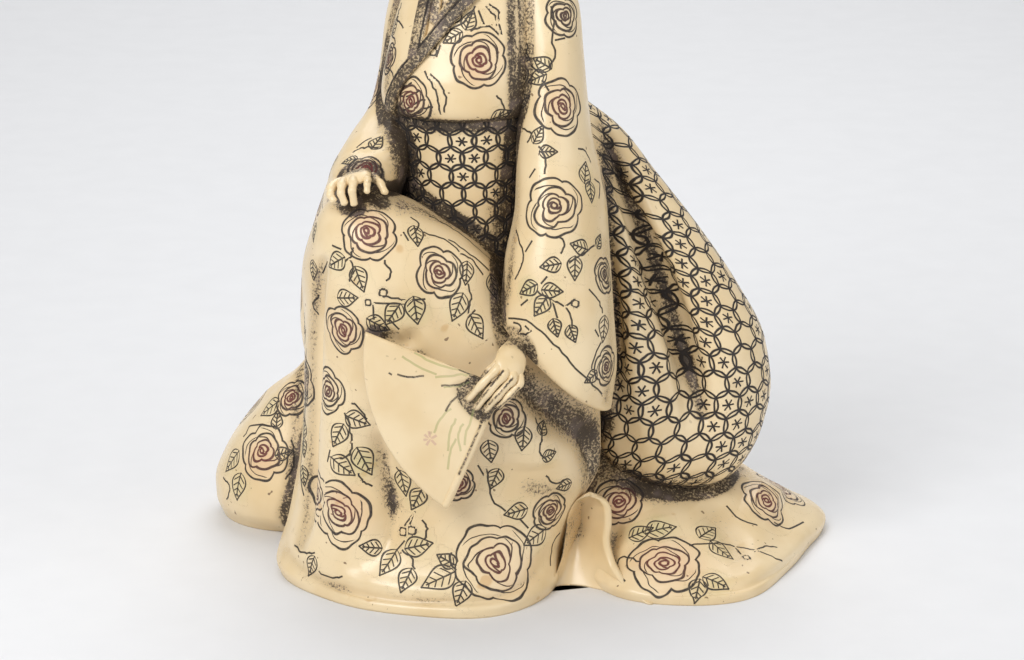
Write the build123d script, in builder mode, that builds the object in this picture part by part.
from build123d import *
import math
import os

# A seated lady in a flowered kimono, carved in sections that are pegged and glued.
# Her right knee is raised with the hand on it, and her left hand holds an open fan.
# +X is to the right of someone who faces her, +Y is behind her and +Z is up.
# The origin is on the ground in the middle of the carving. All lengths are millimetres.

os.makedirs("parts", exist_ok=True)

# Heights of the stack, from the ground up
knee_height = 122.0
seat_drop = 30.0
obi_height = 50.0
chest_height = 49.0
neck_and_head_height = 38.0
hair_height = 34.0
hair_drop = 28.0
topknot_height = 16.0
topknot_sink = 4.0

seat_level = knee_height - seat_drop
obi_top = seat_level + obi_height
neck_level = obi_top + chest_height
head_top = neck_level + neck_and_head_height
hair_foot = head_top - hair_drop
topknot_foot = hair_foot + hair_height - topknot_sink

# How far each body reaches from its own middle, and where that middle stands
skirt_reach = 50.0
skirt_x = -30.0
skirt_y = -9.0
train_reach = 50.0
train_height = 34.0
train_x = 48.0
train_y = 2.0
left_roll_reach = 28.0
left_roll_height = 56.0
left_roll_x = -70.0
left_roll_y = 34.0
back_train_reach = 50.0
back_train_height = 46.0
back_train_x = -18.0
back_train_y = 22.0
waist_reach = 20.0
waist_x = -17.0
waist_y = -4.0
body_turn = -15.0
knot_reach = 20.0
knot_height = 38.0
knot_back = 21.0
tail_reach = 28.0
tail_x = 50.0
tail_y = 4.0
tail_drop = 2.0
tail_sink = 12.0
left_sleeve_reach = 20.0
left_sleeve_length = 136.0
left_sleeve_x = 10.0
left_sleeve_y = -20.0
right_sleeve_reach = 20.0
right_sleeve_length = 132.0
right_sleeve_x = -44.0
right_sleeve_y = 2.0
shoulder_drop = 5.0
head_reach = 10.0
neck_x = -15.5
neck_y = -3.0
head_turn = -18.0
hair_reach = 15.0
topknot_reach = 9.0
topknot_back = 3.0

# Thin pieces
obi_thickness = 3.0
collar_thickness = 1.1
collar_width = 4.2
under_collar_thickness = 0.7
under_collar_width = 3.0
fan_radius = 42.0
fan_thickness = 2.4
fan_guard_width = 2.6
fan_guard_rise = 0.7
comb_radius = 8.0
comb_thickness = 1.6
hairpin_half_width = 0.7
hairpin_length = 36.0
hairpin_bead_half_width = 1.7
hairpin_bead_length = 3.2
sleeve_mouth_depth = 5.0
mouth_x = 8.5
mouth_y = -34.0
mouth_half_width = 19.0
mouth_half_depth = 12.5
mouth_turn = 30.0

# Square dowels
dowel_fit = 0.1
dowel_end_gap = 0.3
waist_dowel_half_width = 4.4
waist_dowel_length = 40.0
neck_dowel_half_width = 2.2
neck_dowel_length = 16.0
arm_dowel_half_width = 1.8
arm_dowel_length = 14.0
wrist_dowel_half_width = 0.9
wrist_dowel_length = 9.0
train_dowel_half_width = 2.7
train_dowel_length = 16.0
knot_dowel_half_width = 2.2
knot_dowel_length = 12.0
tail_dowel_half_width = 2.0
tail_dowel_length = 14.0
topknot_dowel_half_width = 1.4
topknot_dowel_length = 10.0

# Hands, and where each wrist stands: right, back and up from the origin
hand_length = 24.0
left_wrist = (-1.0, -46.0, 80.0)
right_wrist = (-46.0, -27.0, 127.0)

shoulder_level = neck_level - shoulder_drop

# Standing fold of the hem, cuff of the left sleeve, and the seats of the small pieces
pleat_x = 20.0
pleat_y = -33.0
pleat_reach = 10.0
pleat_height = 30.0
cuff_level = 72.0
cuff_slope = 0.9
knot_sink = 35.0
nape_height = 6.0
nape_sink = 2.0
comb_lift = 2.0
comb_front = 6.0
ear_reach = 7.0
ear_height = 8.0
ear_lift = 15.0

full_turn = 2 * math.pi


def turned(right, back, degrees):
    """A sideways and a backward distance, turned about the upright axis."""
    angle = math.radians(degrees)
    x = right * math.cos(angle) - back * math.sin(angle)
    y = right * math.sin(angle) + back * math.cos(angle)
    return x, y


def spot(start, reach, shares):
    """A place given from a start, as shares of a reach: right, back and up."""
    right, back, up = shares
    return start[0] + reach * right, start[1] + reach * back, start[2] + reach * up


def ring(level, middle_x, middle_y, reach, shares, turn, straight):
    """A level outline through points at even angles round its middle, from the right round
    by the back, each at its own share of the reach: a smooth closed curve, or straight sides."""
    points = []
    for number, share in enumerate(shares):
        angle = full_turn * number / len(shares) + math.radians(turn)
        out = reach * share
        points.append((middle_x + out * math.cos(angle), middle_y + out * math.sin(angle)))
    with BuildSketch(Plane.XY.offset(level)) as outline:
        with BuildLine():
            if straight:
                Polyline(*points, close=True)
            else:
                Spline(*points, periodic=True)
        make_face()
    return outline.sketch


def ring_stack(foot, height, middle, reach, rows, turn=0.0, straight=False):
    """The outlines of one body. A row is the share of the height, the shifts of the middle
    to the right and to the back as shares of the reach, and the shares round the outline."""
    rings = []
    for rise, right, back, shares in rows:
        shift_x, shift_y = turned(reach * right, reach * back, turn)
        level = foot + height * rise
        x, y = middle[0] + shift_x, middle[1] + shift_y
        rings.append(ring(level, x, y, reach, shares, turn, straight))
    return rings


def oval_corners(half_width, half_depth, sides):
    """Corners on an ellipse, at even steps of its angle."""
    corners = []
    for side in range(sides):
        angle = full_turn * side / sides
        corners.append((half_width * math.cos(angle), half_depth * math.sin(angle)))
    return corners


def oval(level, middle_x, middle_y, half_width, half_depth, turn, straight):
    """A level ellipse, turned about the upright axis, or a ten-sided one with straight sides."""
    across_x, across_y = turned(1, 0, turn)
    place = Plane(origin=(middle_x, middle_y, level), x_dir=(across_x, across_y, 0), z_dir=(0, 0, 1))
    with BuildSketch(place) as outline:
        if straight:
            with BuildLine():
                Polyline(*oval_corners(half_width, half_depth, oval_sides), close=True)
            make_face()
        else:
            Ellipse(half_width, half_depth)
    return outline.sketch


def oval_stack(foot, height, middle, reach, rows, turn=0.0, extra=0.0, straight=False):
    """The ellipses of one body. A row is the share of the height, the shifts of the middle,
    the half width and the half depth as shares of the reach, and the row's own turn. The
    extra is added to both half sizes."""
    ovals = []
    for rise, right, back, wide, deep, row_turn in rows:
        level = foot + height * rise
        x = middle[0] + reach * right
        y = middle[1] + reach * back
        half_width = reach * wide + extra
        half_depth = reach * deep + extra
        ovals.append(oval(level, x, y, half_width, half_depth, turn + row_turn, straight))
    return ovals


def limb(start, reach, path_shares, thickness_shares, across):
    """A tapered six-sided limb through places given from its start, as shares of the reach."""
    places = [Vector(spot(start, reach, shares)) for shares in path_shares]
    slices = []
    for number, place in enumerate(places):
        before = places[max(number - 1, 0)]
        after = places[min(number + 1, len(places) - 1)]
        with BuildSketch(Plane(origin=place, x_dir=across, z_dir=after - before)) as cut:
            RegularPolygon(reach * thickness_shares[number], finger_sides)
        slices.append(cut.sketch)
    with BuildPart() as body:
        loft(sections=slices, ruled=True)
    return body.part


def palm(start, reach, path_shares, size_shares, across):
    """A flat tapered palm through places given from its start, with an eight-sided oval at each."""
    places = [Vector(spot(start, reach, shares)) for shares in path_shares]
    slices = []
    for number, place in enumerate(places):
        before = places[max(number - 1, 0)]
        after = places[min(number + 1, len(places) - 1)]
        wide, thick = size_shares[number]
        with BuildSketch(Plane(origin=place, x_dir=across, z_dir=after - before)) as cut:
            with BuildLine():
                Polyline(*oval_corners(reach * wide, reach * thick, palm_sides), close=True)
            make_face()
        slices.append(cut.sketch)
    with BuildPart() as body:
        loft(sections=slices, ruled=True)
    return body.part


def dowel(joint, direction, half_width, length):
    """A square pin that keeps two pieces from turning, centred on the joint that it crosses."""
    with BuildPart(Plane(origin=joint, z_dir=direction)) as pin:
        Box(2 * half_width, 2 * half_width, length)
    return pin.part


def bore(joint, direction, half_width, length):
    """The hole for a dowel, wider and longer by the named clearances."""
    return dowel(joint, direction, half_width + dowel_fit, length + 2 * dowel_end_gap)


# Rows of the skirt: sixteen shares each, from the right side round by the back
skirt_shares = [
    (0.000, 0, 0, (
        0.90, 0.92, 0.95, 0.98, 1.00, 0.99, 0.95, 0.90, 0.87, 0.90, 0.89, 0.92, 0.97, 1.07, 1.02, 0.92
    )),
    (0.026, 0, 0, (
        0.90, 0.92, 0.96, 1.00, 1.02, 1.00, 0.96, 0.90, 0.89, 0.92, 0.90, 0.93, 0.98, 1.08, 1.03, 0.93
    )),
    (0.090, 0, 0, (
        0.92, 0.93, 0.96, 0.98, 0.99, 0.97, 0.93, 0.87, 0.84, 0.85, 0.84, 0.83, 0.83, 0.91, 0.96, 0.93
    )),
    (0.300, 0, 0, (
        1.00, 0.96, 0.94, 0.92, 0.90, 0.88, 0.84, 0.78, 0.74, 0.76, 0.77, 0.75, 0.73, 0.77, 0.91, 1.03
    )),
    (0.451, 0, 0, (
        0.98, 0.92, 0.86, 0.82, 0.80, 0.78, 0.76, 0.73, 0.71, 0.73, 0.76, 0.76, 0.75, 0.80, 0.94, 1.02
    )),
    (0.615, 0, 0, (
        0.82, 0.78, 0.74, 0.70, 0.68, 0.68, 0.68, 0.69, 0.70, 0.72, 0.76, 0.78, 0.77, 0.80, 0.84, 0.86
    )),
    (0.754, -0.04, -0.06, (
        0.64, 0.60, 0.56, 0.54, 0.52, 0.54, 0.58, 0.62, 0.66, 0.68, 0.72, 0.74, 0.72, 0.70, 0.68, 0.66
    )),
    (0.852, -0.12, -0.16, (
        0.52, 0.46, 0.40, 0.38, 0.38, 0.42, 0.46, 0.50, 0.53, 0.56, 0.60, 0.62, 0.60, 0.58, 0.58, 0.56
    )),
    (0.926, -0.22, -0.26, (
        0.36, 0.33, 0.30, 0.29, 0.29, 0.31, 0.33, 0.35, 0.37, 0.40, 0.43, 0.45, 0.44, 0.42, 0.40, 0.38
    )),
    (1.000, -0.30, -0.34, (0.08,) * 16),
]

# Rows of the spread of the train on the right
train_shares = [
    (0.00, 0, 0, (
        0.86, 1.04, 1.07, 1.09, 1.09, 1.13, 1.05, 0.86, 0.74, 0.74, 0.80, 0.96, 1.02, 1.01, 0.87, 0.81
    )),
    (0.08, 0, 0, (
        0.87, 1.06, 1.08, 1.10, 1.10, 1.14, 1.06, 0.86, 0.74, 0.74, 0.81, 0.98, 1.03, 1.02, 0.88, 0.82
    )),
    (0.24, 0, 0, (
        0.77, 0.92, 0.96, 0.98, 0.99, 1.03, 0.99, 0.86, 0.74, 0.74, 0.80, 0.84, 0.84, 0.83, 0.75, 0.70
    )),
    (0.44, 0, 0, (
        0.58, 0.67, 0.76, 0.82, 0.84, 0.88, 0.88, 0.80, 0.74, 0.72, 0.70, 0.60, 0.56, 0.56, 0.54, 0.54
    )),
    (0.68, 0, 0, (
        0.36, 0.42, 0.52, 0.60, 0.64, 0.70, 0.76, 0.76, 0.72, 0.64, 0.50, 0.36, 0.27, 0.25, 0.27, 0.30
    )),
    (1.00, -0.20, 0.06, (
        0.12, 0.14, 0.18, 0.22, 0.26, 0.32, 0.40, 0.46, 0.44, 0.34, 0.24, 0.14, 0.10, 0.08, 0.08, 0.10
    )),
]

# Rows of the rolled end of the train behind the left side: twelve shares each
left_roll_shares = [
    (0.00, 0, 0, (0.90, 0.90, 0.90, 0.76, 0.84, 0.88, 0.89, 0.83, 0.76, 0.73, 0.80, 0.85)),
    (0.38, 0, 0, (0.90, 0.90, 0.90, 0.77, 0.82, 0.85, 0.85, 0.87, 0.89, 0.90, 0.90, 0.90)),
    (0.68, 0.07, -0.07, (0.70, 0.70, 0.70, 0.60, 0.56, 0.54, 0.48, 0.52, 0.60, 0.64, 0.70, 0.70)),
    (0.89, 0.28, -0.20, (0.40, 0.40, 0.40, 0.34, 0.30, 0.28, 0.28, 0.32, 0.36, 0.40, 0.40, 0.40)),
    (1.00, 0.30, -0.20, (0.12,) * 12),
]

# Rows of the train behind the figure
back_train_shares = [
    (0.00, 0, 0, (0.90, 0.98, 0.90, 0.75, 0.84, 0.96, 0.90, 0.60, 0.40, 0.40, 0.40, 0.60)),
    (0.12, 0, 0, (0.88, 0.95, 0.88, 0.73, 0.82, 0.93, 0.88, 0.60, 0.40, 0.40, 0.40, 0.60)),
    (0.30, 0, 0, (0.80, 0.82, 0.72, 0.60, 0.66, 0.80, 0.80, 0.60, 0.40, 0.40, 0.40, 0.60)),
    (0.60, 0, 0, (0.62, 0.62, 0.54, 0.46, 0.50, 0.60, 0.62, 0.50, 0.40, 0.40, 0.40, 0.50)),
    (1.00, 0, 0, (0.34, 0.34, 0.32, 0.28, 0.30, 0.34, 0.34, 0.30, 0.26, 0.26, 0.26, 0.30)),
]

# Ovals of the sash, and of the body inside and above it
obi_shares = [
    (0.00, 0.05, 0, 0.95, 0.90, 0),
    (0.56, 0.025, 0, 1.00, 0.975, 0),
    (1.00, 0, 0, 1.14, 1.09, 0),
]
chest_shares = [
    (0.00, 0, -0.02, 1.10, 1.07, 0),
    (0.03, -0.02, -0.05, 1.17, 1.17, 0),
    (0.22, 0, -0.09, 1.18, 1.16, 0),
    (0.38, 0.03, -0.07, 1.13, 1.03, 0),
    (0.72, 0.12, 0.02, 1.00, 0.72, 0),
    (0.84, 0.13, 0.05, 0.83, 0.60, 0),
    (1.00, 0.075, 0.05, 0.44, 0.42, 0),
]

# Rows of the folded knot on the back of the sash
knot_shares = [
    (0.00, 0, 0, (0.62, 0.48, 0.26, 0.24, 0.26, 0.48, 0.62, 0.48, 0.26, 0.24, 0.26, 0.48)),
    (0.20, 0, 0, (1.00, 0.78, 0.50, 0.46, 0.50, 0.78, 1.00, 0.70, 0.50, 0.46, 0.50, 0.70)),
    (0.80, 0, 0, (0.94, 0.76, 0.54, 0.50, 0.54, 0.76, 0.94, 0.66, 0.50, 0.46, 0.50, 0.66)),
    (1.00, 0, 0, (0.60, 0.50, 0.36, 0.32, 0.36, 0.50, 0.60, 0.44, 0.30, 0.28, 0.30, 0.44)),
]

# Rows of the long tail of the sash, from its foot on the train to its top at the knot
tail_shares = [
    (0.00, 0.02, -0.16, (0.30,) * 16),
    (0.16, 0.02, -0.05, (
        0.86, 0.84, 0.80, 0.74, 0.72, 0.72, 0.76, 0.82, 0.88, 0.90, 0.90, 0.86, 0.76, 0.80, 0.86, 0.88
    )),
    (0.26, 0, 0, (
        0.97, 0.94, 0.88, 0.80, 0.76, 0.76, 0.82, 0.90, 0.98, 1.00, 1.00, 0.94, 0.76, 0.84, 0.93, 0.97
    )),
    (0.52, -0.24, 0.10, (
        0.84, 0.82, 0.76, 0.70, 0.68, 0.70, 0.76, 0.82, 0.90, 0.92, 0.92, 0.86, 0.60, 0.72, 0.80, 0.84
    )),
    (0.68, -0.54, 0.16, (
        0.68, 0.66, 0.62, 0.58, 0.58, 0.60, 0.64, 0.70, 0.74, 0.76, 0.76, 0.70, 0.50, 0.58, 0.64, 0.68
    )),
    (0.92, -1.06, 0.36, (
        0.38, 0.38, 0.36, 0.34, 0.34, 0.38, 0.44, 0.52, 0.56, 0.52, 0.42, 0.36, 0.32, 0.34, 0.36, 0.38
    )),
    (1.00, -1.30, 0.46, (
        0.18, 0.18, 0.18, 0.18, 0.18, 0.20, 0.24, 0.30, 0.34, 0.30, 0.24, 0.20, 0.18, 0.18, 0.18, 0.18
    )),
]

# Ovals of the sleeves, from the foot of the hanging end up to the shoulder
left_sleeve_shares = [
    (0.00, 0.40, -0.80, 0.38, 0.70, -20),
    (0.15, 0.25, -0.70, 0.65, 0.92, -20),
    (0.26, 0.05, -0.60, 0.82, 0.95, -20),
    (0.37, 0.05, -0.35, 0.76, 1.00, -18),
    (0.50, 0.10, -0.05, 0.65, 0.98, -14),
    (0.64, 0, 0.30, 0.55, 0.85, -8),
    (0.90, -0.135, 0.725, 0.51, 0.60, 0),
    (1.00, -0.50, 0.80, 0.25, 0.30, 0),
]
right_sleeve_shares = [
    (0.00, -0.60, 0.30, 0.30, 0.30, 0),
    (0.14, -0.55, 0.30, 0.62, 0.70, 0),
    (0.26, -0.45, 0.30, 0.68, 0.75, 0),
    (0.48, -0.08, -0.15, 0.62, 1.22, -6),
    (0.54, 0.05, -0.42, 0.60, 1.36, -12),
    (0.66, 0.44, 0.08, 0.48, 0.72, 0),
    (0.74, 0.55, 0.22, 0.46, 0.58, 0),
    (0.95, 0.78, 0.20, 0.38, 0.44, 0),
    (1.00, 0.98, 0.10, 0.22, 0.26, 0),
]

# Rows of the neck and face: twelve shares each, from her left ear round by the back
head_shares = [
    (0.00, 0, 0, (0.62,) * 12),
    (0.16, 0, -0.08, (0.57,) * 12),
    (0.20, 0, -0.35, (0.60, 0.58, 0.58, 0.58, 0.58, 0.58, 0.60, 0.70, 0.85, 0.98, 0.85, 0.70)),
    (0.37, 0, -0.25, (0.90, 0.87, 0.90, 0.98, 0.90, 0.87, 0.90, 0.94, 1.07, 1.20, 1.07, 0.94)),
    (0.45, 0, -0.25, (0.95, 0.93, 0.98, 1.06, 0.98, 0.93, 0.95, 0.98, 1.08, 1.34, 1.08, 0.98)),
    (0.61, 0, -0.25, (1.00, 1.00, 1.08, 1.16, 1.08, 1.00, 1.00, 1.01, 1.09, 1.16, 1.09, 1.01)),
    (0.74, 0, -0.25, (1.00, 1.02, 1.12, 1.20, 1.12, 1.02, 1.00, 1.03, 1.13, 1.18, 1.13, 1.03)),

]
hair_shares = [
    (0.00, 0, 0.34, (0.30, 0.30, 0.28, 0.26, 0.28, 0.30, 0.30, 0.26, 0.22, 0.20, 0.22, 0.26)),
    (0.12, 0, 0.26, (0.66, 0.62, 0.56, 0.52, 0.56, 0.62, 0.66, 0.50, 0.42, 0.40, 0.42, 0.50)),
    (0.41, 0, 0.06, (1.03, 1.00, 0.90, 0.86, 0.90, 1.00, 1.03, 0.88, 0.66, 0.50, 0.66, 0.88)),
    (0.56, 0, 0, (1.04, 1.02, 0.96, 0.93, 0.96, 1.02, 1.04, 1.00, 0.92, 0.90, 0.92, 1.00)),
    (0.80, 0, -0.04, (0.90, 0.88, 0.86, 0.86, 0.86, 0.88, 0.90, 0.92, 0.96, 0.98, 0.96, 0.92)),
    (0.92, 0, -0.02, (0.62, 0.62, 0.62, 0.62, 0.62, 0.62, 0.62, 0.64, 0.66, 0.66, 0.66, 0.64)),
    (1.00, 0, 0, (0.22,) * 12),
]
topknot_shares = [
    (0.00, 0, 0, (0.60,) * 12),
    (0.62, 0, 0, (1.12, 1.04, 0.90, 0.84, 0.90, 1.04, 1.12, 1.04, 0.90, 0.84, 0.90, 1.04)),
    (0.86, 0, 0, (0.92, 0.86, 0.74, 0.70, 0.74, 0.86, 0.92, 0.86, 0.74, 0.70, 0.74, 0.86)),
    (1.00, 0, 0, (0.40,) * 12),
]

# Rows of the standing fold of the hem and of the hollow in its face
pleat_shares = [
    (0.00, 0, 0, 0.74, 0.66, 0),
    (0.40, 0.02, 0, 0.68, 0.62, 0),
    (0.74, 0, 0, 0.62, 0.54, 0),
    (1.00, -0.02, 0, 0.20, 0.16, 0),
]
pleat_hollow_shares = [
    (-0.05, -0.22, -0.50, 0.50, 1.60, 35),
    (0.72, -0.12, -0.36, 0.38, 0.98, 35),
    (0.90, -0.04, -0.34, 0.24, 0.62, 35),
]

# Places on the hands as shares of the hand's length, from the wrist: right, back and up
left_palm_path_shares = [(0.29, 0.50, 0.17), (0.00, 0.00, 0.00), (-0.06, -0.29, -0.06), (-0.10, -0.52, -0.18)]
left_palm_size_shares = [(0.15, 0.13), (0.14, 0.115), (0.19, 0.12), (0.205, 0.075)]
left_palm_across_share = (0.84, -0.06, -0.53)
left_finger_shares = [
    [
        (-0.18, -0.40, -0.08), (-0.25, -0.51, -0.15), (-0.42, -0.55, -0.31),
        (-0.57, -0.49, -0.50), (-0.60, -0.46, -0.53),
    ],
    [
        (-0.12, -0.42, -0.12), (-0.15, -0.55, -0.19), (-0.33, -0.58, -0.39),
        (-0.485, -0.51, -0.61), (-0.51, -0.48, -0.64),
    ],
    [
        (-0.05, -0.42, -0.16), (-0.05, -0.55, -0.24), (-0.23, -0.59, -0.44),
        (-0.375, -0.52, -0.64), (-0.40, -0.49, -0.67),
    ],
    [
        (0.02, -0.40, -0.20), (0.04, -0.52, -0.30), (-0.10, -0.59, -0.45),
        (-0.215, -0.54, -0.585), (-0.24, -0.51, -0.61),
    ],
    [
        (-0.10, -0.12, -0.05), (-0.20, -0.24, -0.10), (-0.33, -0.29, -0.22),
        (-0.45, -0.32, -0.37), (-0.47, -0.325, -0.40),
    ],
]
right_palm_path_shares = [(0.04, 0.29, 0.02), (0.00, 0.00, 0.00), (-0.08, -0.21, 0.00), (-0.15, -0.41, -0.03)]
right_palm_size_shares = [(0.14, 0.11), (0.14, 0.10), (0.21, 0.085), (0.255, 0.06)]
right_palm_across_share = (0.96, 0.10, 0.24)
right_finger_shares = [
    [
        (-0.32, -0.30, -0.06), (-0.37, -0.42, -0.09), (-0.375, -0.51, -0.14),
        (-0.33, -0.55, -0.205), (-0.32, -0.555, -0.225),
    ],
    [
        (-0.22, -0.30, -0.03), (-0.24, -0.44, -0.04), (-0.245, -0.53, -0.11),
        (-0.20, -0.555, -0.235), (-0.19, -0.56, -0.26),
    ],
    [
        (-0.10, -0.30, 0.00), (-0.10, -0.44, -0.01), (-0.11, -0.54, -0.08),
        (-0.085, -0.555, -0.25), (-0.08, -0.56, -0.275),
    ],
    [
        (0.04, -0.28, 0.01), (0.07, -0.40, 0.02), (0.07, -0.50, -0.01),
        (0.07, -0.535, -0.09), (0.07, -0.54, -0.12),
    ],
    [
        (0.06, -0.08, 0.00), (0.15, -0.19, -0.01), (0.225, -0.28, -0.06),
        (0.28, -0.36, -0.15), (0.29, -0.375, -0.175),
    ],
]
finger_thickness_shares = [0.060, 0.064, 0.060, 0.050, 0.026]
finger_sides = 6
palm_sides = 8
oval_sides = 10

# Bands on the front, as shares of the waist's reach: across from its middle, and up from the sash
left_band_shares = [(0.60, 2.60), (0.24, 1.725), (-0.71, 0.475), (-1.20, -0.17)]
right_band_shares = [(-0.14, 2.60), (-0.20, 2.25), (-0.40, 1.25), (-0.46, 0.95)]
left_strip_shares = [(0.43, 2.60), (0.10, 1.83), (-0.27, 1.35)]
right_strip_shares = [(0.00, 2.60), (-0.06, 2.25), (-0.25, 1.30)]
neck_opening_shares = [(-0.10, 2.30), (-0.14, 3.00), (0.56, 3.00), (0.42, 2.20)]

# Ovals of the collar's nape, of an ear and of the ends of the fan
nape_shares = [
    (0.00, 0.075, 0.05, 0.50, 0.48, 0),
    (0.40, 0.075, 0.06, 0.48, 0.46, 0),
    (1.00, 0.075, 0.12, 0.47, 0.48, 0),
]
ear_shares = [
    (0.00, 0, 0, 0.08, 0.10, 0),
    (0.30, 0, 0, 0.15, 0.22, 0),
    (0.70, 0, 0.03, 0.19, 0.30, 0),
    (1.00, 0, 0.02, 0.10, 0.16, 0),
]
fan_pivot_shares = (-0.20, -0.44, -0.36)
fan_across_shares = (-0.907, 0.142, -0.397)
fan_face_shares = (-0.150, -0.985, -0.010)
fan_half_spread = 43.5
fan_bulge_share = 0.93

# Places of the joints, as shares of the reach of the body that they belong to
left_arm_shares = (1.12, -0.14, 1.27)
right_arm_shares = (-0.70, 0.64, 1.27)
knot_joint_shares = (-0.01, -0.03, 0.95)
tail_joint_shares = (0.91, -0.15, 1.25)
left_roll_joint_shares = (-0.66, 0.50, 0.22)
train_joint_shares = (0.94, 0.14, 0.18)
back_train_joint_shares = (0.20, 0.98, 0.16)
pin_level_shares = (0.44, 0.66)
pin_slant_share = 0.35

# The body inside the clothes: the waist inside the sash, and the chest over it
waist = (waist_x, waist_y)
with BuildPart() as waist_form:
    loft(
        sections=oval_stack(
            seat_level, obi_height, waist, waist_reach, obi_shares, body_turn, -obi_thickness
        ),
        ruled=True,
    )
with BuildPart() as sash_form:
    loft(sections=oval_stack(seat_level, obi_height, waist, waist_reach, obi_shares, body_turn), ruled=True)
with BuildPart() as chest_form:
    loft(sections=oval_stack(obi_top, chest_height, waist, waist_reach, chest_shares, body_turn), ruled=True)

# Joints of the dowels, with the way each dowel runs
upright = (0, 0, 1)
sideways = (1, 0, 0)
facing = Vector(*turned(0, -1, body_turn), 0)
skirt_start = (skirt_x, skirt_y, 0)
skirt_middle = (skirt_x, skirt_y)
waist_joint = (waist_x, waist_y, seat_level)
neck_joint = (neck_x, neck_y, neck_level)
arm_start = (waist_x, waist_y, obi_top)
left_arm_joint = spot(arm_start, waist_reach, left_arm_shares)
right_arm_joint = spot(arm_start, waist_reach, right_arm_shares)
right_arm_way = (-1, 1, 0)
knot_foot = obi_top - knot_sink
knot_shift = turned(0, knot_back, body_turn)
knot_middle = (waist_x + knot_shift[0], waist_y + knot_shift[1])
knot_start = (knot_middle[0], knot_middle[1], knot_foot)
knot_joint = spot(knot_start, knot_reach, knot_joint_shares)
tail_foot = train_height - tail_sink
tail_height = obi_top - tail_drop - tail_foot
tail_joint = spot(knot_start, knot_reach, tail_joint_shares)
left_roll_joint = spot(skirt_start, skirt_reach, left_roll_joint_shares)
left_roll_way = (-1, 1, 0)
train_joint = spot(skirt_start, skirt_reach, train_joint_shares)
back_train_joint = spot(skirt_start, skirt_reach, back_train_joint_shares)
back_train_way = (0, 1, 0)
topknot_shift = turned(0, topknot_back, head_turn)
topknot_middle = (neck_x + topknot_shift[0], neck_y + topknot_shift[1])
topknot_joint = (topknot_middle[0], topknot_middle[1], topknot_foot)

# Hands: the palm with its fingers and thumb
left_hand_start = spot(left_wrist, hand_length, left_palm_path_shares[0])
right_hand_start = spot(right_wrist, hand_length, right_palm_path_shares[0])
left_wrist_way = Vector(left_hand_start) - Vector(left_wrist)
right_wrist_way = Vector(right_hand_start) - Vector(right_wrist)
left_palm = palm(
    left_wrist, hand_length, left_palm_path_shares, left_palm_size_shares, left_palm_across_share
)
right_palm = palm(
    right_wrist, hand_length, right_palm_path_shares, right_palm_size_shares, right_palm_across_share
)
left_fingers = [
    limb(left_wrist, hand_length, path, finger_thickness_shares, left_palm_across_share)
    for path in left_finger_shares
]
right_fingers = [
    limb(right_wrist, hand_length, path, finger_thickness_shares, right_palm_across_share)
    for path in right_finger_shares
]

# Skirt: the raised knee, the lap, the lower knee and the front hem, with a seat for the sash
with BuildPart() as skirt:
    loft(sections=ring_stack(0, knee_height, skirt_middle, skirt_reach, skirt_shares), ruled=True)
    add(sash_form.part, mode=Mode.SUBTRACT)
    add(bore(waist_joint, upright, waist_dowel_half_width, waist_dowel_length), mode=Mode.SUBTRACT)
    add(bore(left_roll_joint, left_roll_way, train_dowel_half_width, train_dowel_length), mode=Mode.SUBTRACT)
    add(bore(train_joint, sideways, train_dowel_half_width, train_dowel_length), mode=Mode.SUBTRACT)
    add(
        bore(back_train_joint, back_train_way, train_dowel_half_width, train_dowel_length),
        mode=Mode.SUBTRACT,
    )
skirt.part.label = "skirt"
export_step(skirt.part, "parts/skirt.step")

# The hollow in the face of the standing fold
pleat_middle = (pleat_x, pleat_y)
with BuildPart() as pleat_hollow:
    loft(
        sections=oval_stack(
            0, pleat_height, pleat_middle, pleat_reach, pleat_hollow_shares, straight=True
        ),
        ruled=True,
    )

# Spread of the train on the right
with BuildPart() as train_right:
    loft(sections=ring_stack(0, train_height, (train_x, train_y), train_reach, train_shares), ruled=True)
    add(skirt.part, mode=Mode.SUBTRACT)
    add(pleat_hollow.part, mode=Mode.SUBTRACT)
    add(bore(train_joint, sideways, train_dowel_half_width, train_dowel_length), mode=Mode.SUBTRACT)
train_right.part.label = "train_right"
export_step(train_right.part, "parts/train_right.step")

# Rolled end of the train behind the left side
left_roll_middle = (left_roll_x, left_roll_y)
with BuildPart() as train_left:
    loft(
        sections=ring_stack(0, left_roll_height, left_roll_middle, left_roll_reach, left_roll_shares),
        ruled=True,
    )
    add(skirt.part, mode=Mode.SUBTRACT)
    add(bore(left_roll_joint, left_roll_way, train_dowel_half_width, train_dowel_length), mode=Mode.SUBTRACT)
train_left.part.label = "train_left"
export_step(train_left.part, "parts/train_left.step")

# Train behind the figure
back_train_middle = (back_train_x, back_train_y)
with BuildPart() as train_back:
    loft(
        sections=ring_stack(0, back_train_height, back_train_middle, back_train_reach, back_train_shares),
        ruled=True,
    )
    add(skirt.part, mode=Mode.SUBTRACT)
    add(train_right.part, mode=Mode.SUBTRACT)
    add(train_left.part, mode=Mode.SUBTRACT)
    add(
        bore(back_train_joint, back_train_way, train_dowel_half_width, train_dowel_length),
        mode=Mode.SUBTRACT,
    )
train_back.part.label = "train_back"
export_step(train_back.part, "parts/train_back.step")

# Standing fold of the hem, between the skirt and the spread
with BuildPart() as hem_pleat:
    loft(
        sections=oval_stack(0, pleat_height, pleat_middle, pleat_reach, pleat_shares, straight=True),
        ruled=True,
    )
    add(pleat_hollow.part, mode=Mode.SUBTRACT)
    add(skirt.part, mode=Mode.SUBTRACT)
    add(train_right.part, mode=Mode.SUBTRACT)
hem_pleat.part.label = "hem_pleat"
export_step(hem_pleat.part, "parts/hem_pleat.step")

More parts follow.
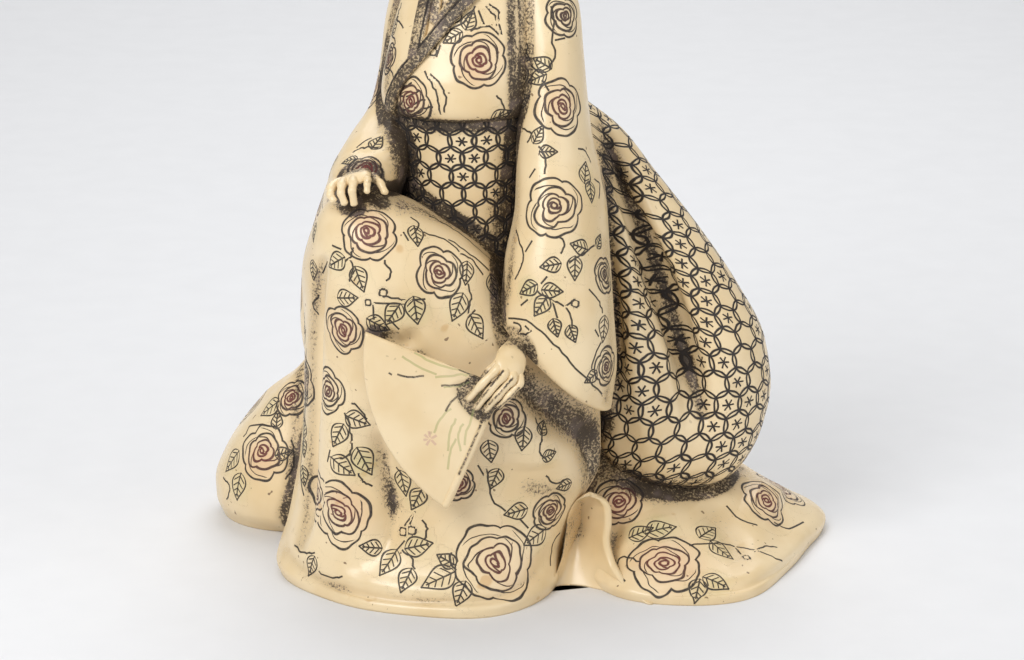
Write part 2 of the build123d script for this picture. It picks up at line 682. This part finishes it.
# Torso: the waist inside the sash and the chest that hangs over it
with BuildPart() as torso:
    add(waist_form.part)
    add(chest_form.part)
    add(bore(waist_joint, upright, waist_dowel_half_width, waist_dowel_length), mode=Mode.SUBTRACT)
    add(bore(neck_joint, upright, neck_dowel_half_width, neck_dowel_length), mode=Mode.SUBTRACT)
    add(bore(left_arm_joint, sideways, arm_dowel_half_width, arm_dowel_length), mode=Mode.SUBTRACT)
    add(bore(right_arm_joint, right_arm_way, arm_dowel_half_width, arm_dowel_length), mode=Mode.SUBTRACT)
    add(bore(knot_joint, facing, knot_dowel_half_width, knot_dowel_length), mode=Mode.SUBTRACT)
torso.part.label = "torso"
export_step(torso.part, "parts/torso.step")

# Sash round the waist
with BuildPart() as obi:
    add(sash_form.part)
    add(waist_form.part, mode=Mode.SUBTRACT)
    add(bore(knot_joint, facing, knot_dowel_half_width, knot_dowel_length), mode=Mode.SUBTRACT)
obi.part.label = "obi"
export_step(obi.part, "parts/obi.step")

# Knot on the back of the sash
with BuildPart() as obi_knot:
    loft(
        sections=ring_stack(
            knot_foot, knot_height, knot_middle, knot_reach, knot_shares, body_turn, straight=True
        ),
        ruled=True,
    )
    add(sash_form.part, mode=Mode.SUBTRACT)
    add(chest_form.part, mode=Mode.SUBTRACT)
    add(bore(knot_joint, facing, knot_dowel_half_width, knot_dowel_length), mode=Mode.SUBTRACT)
    add(bore(tail_joint, sideways, tail_dowel_half_width, tail_dowel_length), mode=Mode.SUBTRACT)
obi_knot.part.label = "obi_knot"
export_step(obi_knot.part, "parts/obi_knot.step")

# Front of the chest, where the bands of the collars are drawn and pushed out
across_body = (*turned(1, 0, body_turn), 0)
chest_front = Plane(origin=(waist_x, waist_y, obi_top), x_dir=across_body, z_dir=facing)
front_depth = 2 * waist_reach


def band(shares, width):
    """A band along a curve on the front, pushed out from the middle of the body."""
    points = [(waist_reach * across, waist_reach * up) for across, up in shares]
    with BuildPart() as body:
        with BuildSketch(chest_front):
            with BuildLine():
                Spline(*points)
            trace(line_width=width)
        extrude(amount=front_depth)
    return body.part


# Skins over the chest: the outer collar is thicker than the inner one
with BuildPart() as collar_skin:
    loft(
        sections=oval_stack(
            obi_top, chest_height, waist, waist_reach, chest_shares, body_turn, collar_thickness
        ),
        ruled=True,
    )
    add(chest_form.part, mode=Mode.SUBTRACT)
    add(sash_form.part, mode=Mode.SUBTRACT)
with BuildPart() as under_skin:
    loft(
        sections=oval_stack(
            obi_top, chest_height, waist, waist_reach, chest_shares, body_turn, under_collar_thickness
        ),
        ruled=True,
    )
    add(chest_form.part, mode=Mode.SUBTRACT)

# Ring of the collar round the nape, open at the front
opening_points = [(waist_reach * across, waist_reach * up) for across, up in neck_opening_shares]
nape_foot = neck_level - nape_sink
with BuildPart() as nape:
    loft(sections=oval_stack(nape_foot, nape_height, waist, waist_reach, nape_shares, body_turn), ruled=True)
    loft(
        sections=oval_stack(
            nape_foot, nape_height, waist, waist_reach, nape_shares, body_turn, -collar_thickness
        ),
        ruled=True,
        mode=Mode.SUBTRACT,
    )
    add(chest_form.part, mode=Mode.SUBTRACT)
    with BuildSketch(chest_front):
        with BuildLine():
            Polyline(*opening_points, close=True)
        make_face()
    extrude(amount=front_depth, mode=Mode.SUBTRACT)

# Outer collar: two bands that cross on the front, and the nape
with BuildPart() as collar:
    add(band(left_band_shares, collar_width))
    add(band(right_band_shares, collar_width))
    add(collar_skin.part, mode=Mode.INTERSECT)
    add(nape.part)
collar.part.label = "collar"
export_step(collar.part, "parts/collar.step")

# Inner collar: two narrow strips in the opening
with BuildPart() as under_collar:
    add(band(left_strip_shares, under_collar_width))
    add(band(right_strip_shares, under_collar_width))
    add(under_skin.part, mode=Mode.INTERSECT)
    add(collar.part, mode=Mode.SUBTRACT)
under_collar.part.label = "under_collar"
export_step(under_collar.part, "parts/under_collar.step")

# Fan: an open leaf with a guard along its lower edge
fan_pivot = spot(left_wrist, hand_length, fan_pivot_shares)
fan_plane = Plane(origin=fan_pivot, x_dir=fan_across_shares, z_dir=fan_face_shares)
fan_angle = math.radians(fan_half_spread)
fan_tip = (fan_radius * math.cos(fan_angle), fan_radius * math.sin(fan_angle))
fan_corner = (fan_tip[0], -fan_tip[1])
with BuildPart() as fan:
    with BuildSketch(fan_plane):
        with BuildLine():
            Polyline(fan_corner, (0, 0), fan_tip)
            ThreePointArc(fan_tip, (fan_radius * fan_bulge_share, 0), fan_corner)
        make_face()
        Circle(fan_guard_width)
    extrude(amount=fan_thickness / 2, both=True)
    with BuildSketch(fan_plane.offset(-fan_thickness / 2)):
        with BuildLine():
            Line((0, 0), fan_tip)
        trace(line_width=fan_guard_width)
        Circle(fan_guard_width)
    extrude(amount=fan_thickness + fan_guard_rise)
fan.part.label = "fan"
export_step(fan.part, "parts/fan.step")

# Hand that holds the fan
with BuildPart() as left_hand:
    add(left_palm)
    add(left_fingers)
    add(fan.part, mode=Mode.SUBTRACT)
    add(bore(left_hand_start, left_wrist_way, wrist_dowel_half_width, wrist_dowel_length), mode=Mode.SUBTRACT)
left_hand.part.label = "left_hand"
export_step(left_hand.part, "parts/left_hand.step")

# Hand that lies on the knee
with BuildPart() as right_hand:
    add(right_palm)
    add(right_fingers)
    add(skirt.part, mode=Mode.SUBTRACT)
    add(
        bore(right_hand_start, right_wrist_way, wrist_dowel_half_width, wrist_dowel_length),
        mode=Mode.SUBTRACT,
    )
right_hand.part.label = "right_hand"
export_step(right_hand.part, "parts/right_hand.step")

# Left sleeve: it hangs to a slanting cuff with a shallow mouth
cuff_plane = Plane(origin=(left_sleeve_x, left_sleeve_y, cuff_level), z_dir=(cuff_slope, 0, 1))
mouth_plane = Plane(
    origin=(mouth_x, mouth_y, cuff_level + cuff_slope * (left_sleeve_x - mouth_x)),
    x_dir=(1, 0, -cuff_slope),
    z_dir=(cuff_slope, 0, 1),
)
left_sleeve_foot = shoulder_level - left_sleeve_length
left_sleeve_middle = (left_sleeve_x, left_sleeve_y)
with BuildPart() as left_mouth:
    with BuildSketch(mouth_plane):
        Ellipse(mouth_half_width, mouth_half_depth, rotation=mouth_turn)
    extrude(amount=sleeve_mouth_depth, both=True)
with BuildPart() as left_sleeve:
    loft(
        sections=oval_stack(
            left_sleeve_foot, left_sleeve_length, left_sleeve_middle, left_sleeve_reach, left_sleeve_shares
        ),
        ruled=True,
    )
    split(bisect_by=cuff_plane, keep=Keep.TOP)
    add(left_mouth.part, mode=Mode.SUBTRACT)
    add(chest_form.part, mode=Mode.SUBTRACT)
    add(collar.part, mode=Mode.SUBTRACT)
    add(sash_form.part, mode=Mode.SUBTRACT)
    add(skirt.part, mode=Mode.SUBTRACT)
    add(left_hand.part, mode=Mode.SUBTRACT)
    add(bore(left_arm_joint, sideways, arm_dowel_half_width, arm_dowel_length), mode=Mode.SUBTRACT)
    add(bore(left_hand_start, left_wrist_way, wrist_dowel_half_width, wrist_dowel_length), mode=Mode.SUBTRACT)
left_sleeve.part.label = "left_sleeve"
export_step(left_sleeve.part, "parts/left_sleeve.step")

# Right sleeve: from the shoulder to the knee, with its hanging end behind the skirt
right_sleeve_foot = shoulder_level - right_sleeve_length
right_sleeve_middle = (right_sleeve_x, right_sleeve_y)
with BuildPart() as right_sleeve:
    loft(
        sections=oval_stack(
            right_sleeve_foot,
            right_sleeve_length,
            right_sleeve_middle,
            right_sleeve_reach,
            right_sleeve_shares,
        ),
        ruled=True,
    )
    add(chest_form.part, mode=Mode.SUBTRACT)
    add(collar.part, mode=Mode.SUBTRACT)
    add(sash_form.part, mode=Mode.SUBTRACT)
    add(skirt.part, mode=Mode.SUBTRACT)
    add(train_left.part, mode=Mode.SUBTRACT)
    add(right_hand.part, mode=Mode.SUBTRACT)
    add(obi_knot.part, mode=Mode.SUBTRACT)
    add(bore(right_arm_joint, right_arm_way, arm_dowel_half_width, arm_dowel_length), mode=Mode.SUBTRACT)
    add(
        bore(right_hand_start, right_wrist_way, wrist_dowel_half_width, wrist_dowel_length),
        mode=Mode.SUBTRACT,
    )
right_sleeve.part.label = "right_sleeve"
export_step(right_sleeve.part, "parts/right_sleeve.step")

# Long tail of the sash, from the knot down to the spread of the train
with BuildPart() as bow:
    loft(sections=ring_stack(tail_foot, tail_height, (tail_x, tail_y), tail_reach, tail_shares), ruled=True)
    add(chest_form.part, mode=Mode.SUBTRACT)
    add(sash_form.part, mode=Mode.SUBTRACT)
    add(obi_knot.part, mode=Mode.SUBTRACT)
    add(skirt.part, mode=Mode.SUBTRACT)
    add(left_sleeve.part, mode=Mode.SUBTRACT)
    add(train_right.part, mode=Mode.SUBTRACT)
    add(train_back.part, mode=Mode.SUBTRACT)
    add(bore(tail_joint, sideways, tail_dowel_half_width, tail_dowel_length), mode=Mode.SUBTRACT)
bow.part.label = "bow"
export_step(bow.part, "parts/bow.step")

# Dressed hair: a cap that the face is set into
neck_middle = (neck_x, neck_y)
with BuildPart() as hair_form:
    loft(
        sections=ring_stack(
            hair_foot, hair_height, neck_middle, hair_reach, hair_shares, head_turn, straight=True
        ),
        ruled=True,
    )

# Neck and face, with an ear on each side
ear_foot = neck_level + ear_lift
with BuildPart() as head:
    loft(
        sections=ring_stack(
            neck_level, neck_and_head_height, neck_middle, head_reach, head_shares, head_turn
        ),
        ruled=True,
    )
    for side in (-1, 1):
        ear_shift = turned(side * head_reach, 0, head_turn)
        ear_middle = (neck_x + ear_shift[0], neck_y + ear_shift[1])
        loft(
            sections=oval_stack(
                ear_foot, ear_height, ear_middle, ear_reach, ear_shares, head_turn, straight=True
            ),
            ruled=True,
        )
    add(hair_form.part, mode=Mode.SUBTRACT)
    add(bore(neck_joint, upright, neck_dowel_half_width, neck_dowel_length), mode=Mode.SUBTRACT)
head.part.label = "head"
export_step(head.part, "parts/head.step")

with BuildPart() as hair:
    add(hair_form.part)
    add(bore(topknot_joint, upright, topknot_dowel_half_width, topknot_dowel_length), mode=Mode.SUBTRACT)
hair.part.label = "hair"
export_step(hair.part, "parts/hair.step")

# Two pins that cross in the bun at different heights
pin_ways = (turned(1, pin_slant_share, head_turn), turned(-1, pin_slant_share, head_turn))
with BuildPart() as hairpins:
    for way, level_share in zip(pin_ways, pin_level_shares):
        pin_middle = Vector(topknot_middle[0], topknot_middle[1], topknot_foot + topknot_height * level_share)
        pin_way = Vector(way[0], way[1], 0).normalized()
        add(dowel(pin_middle, pin_way, hairpin_half_width, hairpin_length))
        bead_middle = pin_middle + pin_way * hairpin_length / 2
        add(dowel(bead_middle, pin_way, hairpin_bead_half_width, hairpin_bead_length))
hairpins.part.label = "hairpins"
export_step(hairpins.part, "parts/hairpins.step")

# Bun on top
with BuildPart() as topknot:
    loft(
        sections=ring_stack(
            topknot_foot,
            topknot_height,
            topknot_middle,
            topknot_reach,
            topknot_shares,
            head_turn,
            straight=True,
        ),
        ruled=True,
    )
    add(hair.part, mode=Mode.SUBTRACT)
    add(hairpins.part, mode=Mode.SUBTRACT)
    add(bore(topknot_joint, upright, topknot_dowel_half_width, topknot_dowel_length), mode=Mode.SUBTRACT)
topknot.part.label = "topknot"
export_step(topknot.part, "parts/topknot.step")

# Comb: half a disc that stands in the hair
comb_shift = turned(0, -comb_front, head_turn)
comb_place = Plane(
    origin=(neck_x + comb_shift[0], neck_y + comb_shift[1], topknot_foot - comb_lift),
    x_dir=(*turned(1, 0, head_turn), 0),
    z_dir=(*turned(0, -1, head_turn), 0),
)
with BuildPart() as comb:
    with BuildSketch(comb_place):
        with BuildLine():
            CenterArc((0, 0), comb_radius, 0, 180)
            Line((-comb_radius, 0), (comb_radius, 0))
        make_face()
    extrude(amount=comb_thickness / 2, both=True)
    add(hair.part, mode=Mode.SUBTRACT)
    add(topknot.part, mode=Mode.SUBTRACT)
comb.part.label = "comb"
export_step(comb.part, "parts/comb.step")

# Dowels that stand alone
with BuildPart() as waist_peg:
    add(dowel(waist_joint, upright, waist_dowel_half_width, waist_dowel_length))
waist_peg.part.label = "waist_peg"
export_step(waist_peg.part, "parts/waist_peg.step")

with BuildPart() as neck_peg:
    add(dowel(neck_joint, upright, neck_dowel_half_width, neck_dowel_length))
neck_peg.part.label = "neck_peg"
export_step(neck_peg.part, "parts/neck_peg.step")

with BuildPart() as topknot_peg:
    add(dowel(topknot_joint, upright, topknot_dowel_half_width, topknot_dowel_length))
topknot_peg.part.label = "topknot_peg"
export_step(topknot_peg.part, "parts/topknot_peg.step")

with BuildPart() as knot_peg:
    add(dowel(knot_joint, facing, knot_dowel_half_width, knot_dowel_length))
knot_peg.part.label = "knot_peg"
export_step(knot_peg.part, "parts/knot_peg.step")

with BuildPart() as bow_peg:
    add(dowel(tail_joint, sideways, tail_dowel_half_width, tail_dowel_length))
bow_peg.part.label = "bow_peg"
export_step(bow_peg.part, "parts/bow_peg.step")

# Dowels in groups: one in each arm, one in each wrist and one for each piece of the train
with BuildPart() as arm_pegs:
    add(dowel(left_arm_joint, sideways, arm_dowel_half_width, arm_dowel_length))
    add(dowel(right_arm_joint, right_arm_way, arm_dowel_half_width, arm_dowel_length))
arm_pegs.part.label = "arm_pegs"
export_step(arm_pegs.part, "parts/arm_pegs.step")

with BuildPart() as wrist_pegs:
    add(dowel(left_hand_start, left_wrist_way, wrist_dowel_half_width, wrist_dowel_length))
    add(dowel(right_hand_start, right_wrist_way, wrist_dowel_half_width, wrist_dowel_length))
wrist_pegs.part.label = "wrist_pegs"
export_step(wrist_pegs.part, "parts/wrist_pegs.step")

with BuildPart() as train_pegs:
    add(dowel(left_roll_joint, left_roll_way, train_dowel_half_width, train_dowel_length))
    add(dowel(train_joint, sideways, train_dowel_half_width, train_dowel_length))
    add(dowel(back_train_joint, back_train_way, train_dowel_half_width, train_dowel_length))
train_pegs.part.label = "train_pegs"
export_step(train_pegs.part, "parts/train_pegs.step")
